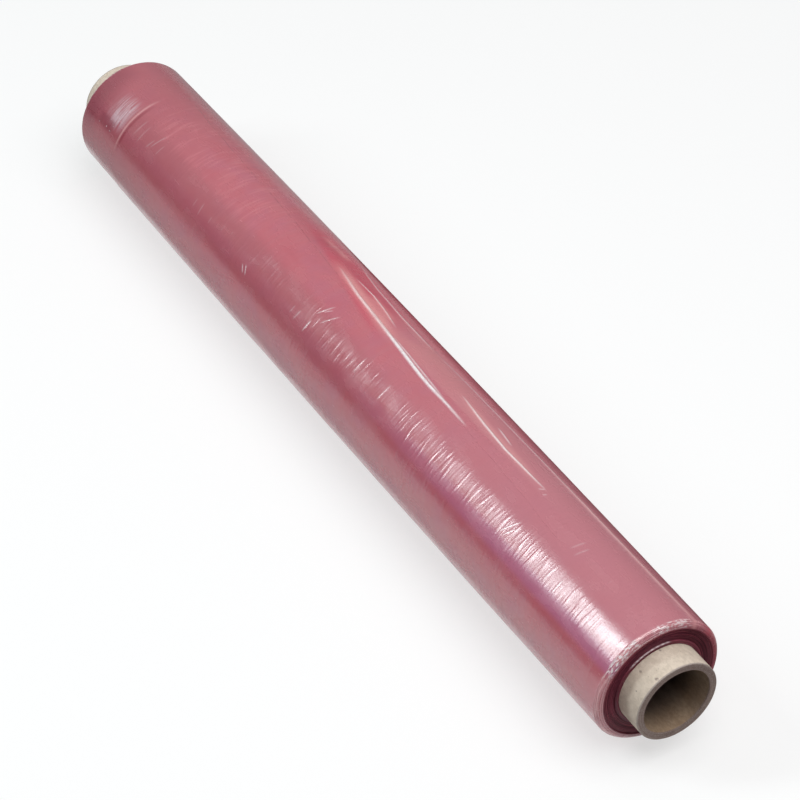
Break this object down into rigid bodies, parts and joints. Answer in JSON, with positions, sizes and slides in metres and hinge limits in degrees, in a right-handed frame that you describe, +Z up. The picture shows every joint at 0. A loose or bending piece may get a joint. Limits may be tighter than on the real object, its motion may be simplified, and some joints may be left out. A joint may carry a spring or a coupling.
{
  "type": "roll of cling film",
  "caption": "Long roll of thin tinted cling film wound on a cardboard tube that stands out at both ends, lying on its side.",
  "frame": {"origin": "on the surface the roll rests on, under the middle of the tube", "axes": "+X along the roll towards its open near end, +Z up"},
  "size_m": [0.4766, 0.0598, 0.0592],
  "materials": {
    "film": "gloss",
    "core": "matte"
  },
  "bodies": {
    "root": {"core": "core", "film": "film"}
  },
  "joints": []
}
